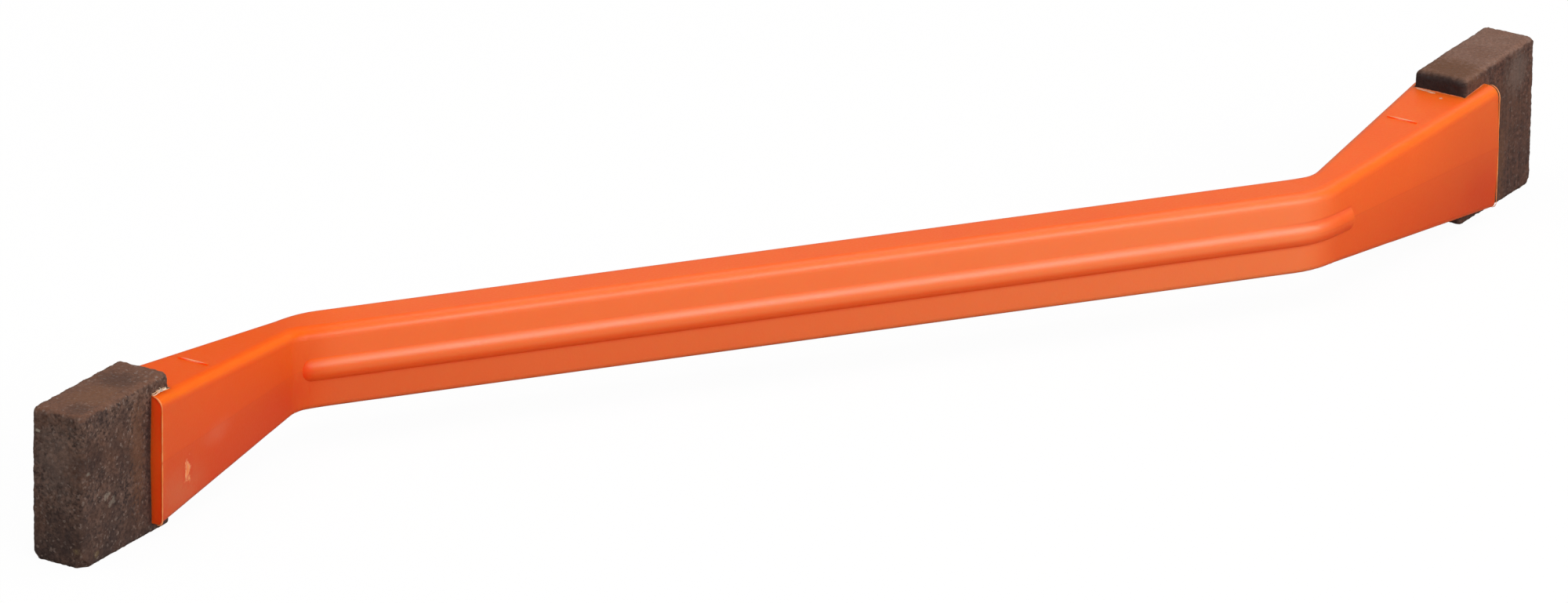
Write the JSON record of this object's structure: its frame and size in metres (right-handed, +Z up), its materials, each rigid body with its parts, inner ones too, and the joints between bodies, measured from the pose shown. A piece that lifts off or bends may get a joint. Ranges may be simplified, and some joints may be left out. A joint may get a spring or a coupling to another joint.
{
  "type": "double-ended sharpening stone tool",
  "caption": "Hand tool with an offset moulded plastic handle and a rectangular abrasive stone glued into the fork at each end, for rubbing down or sharpening an edge.",
  "frame": {"origin": "centre of the object's outline seen from above, on the plane that both stones stand on", "axes": "+X along the straight grip towards the right stone, +Y away from the front of the grip, +Z up, square to the plane in which the handle bends"},
  "size_m": [0.2874, 0.0828, 0.0261],
  "materials": {
    "handle_plastic": "satin",
    "left_stone_grit": "matte",
    "right_stone_grit": "matte",
    "adhesive": "satin"
  },
  "bodies": {
    "root": {"handle": "handle_plastic", "left_stone": "left_stone_grit", "right_stone": "right_stone_grit", "left_adhesive": "adhesive", "right_adhesive": "adhesive"}
  },
  "joints": []
}
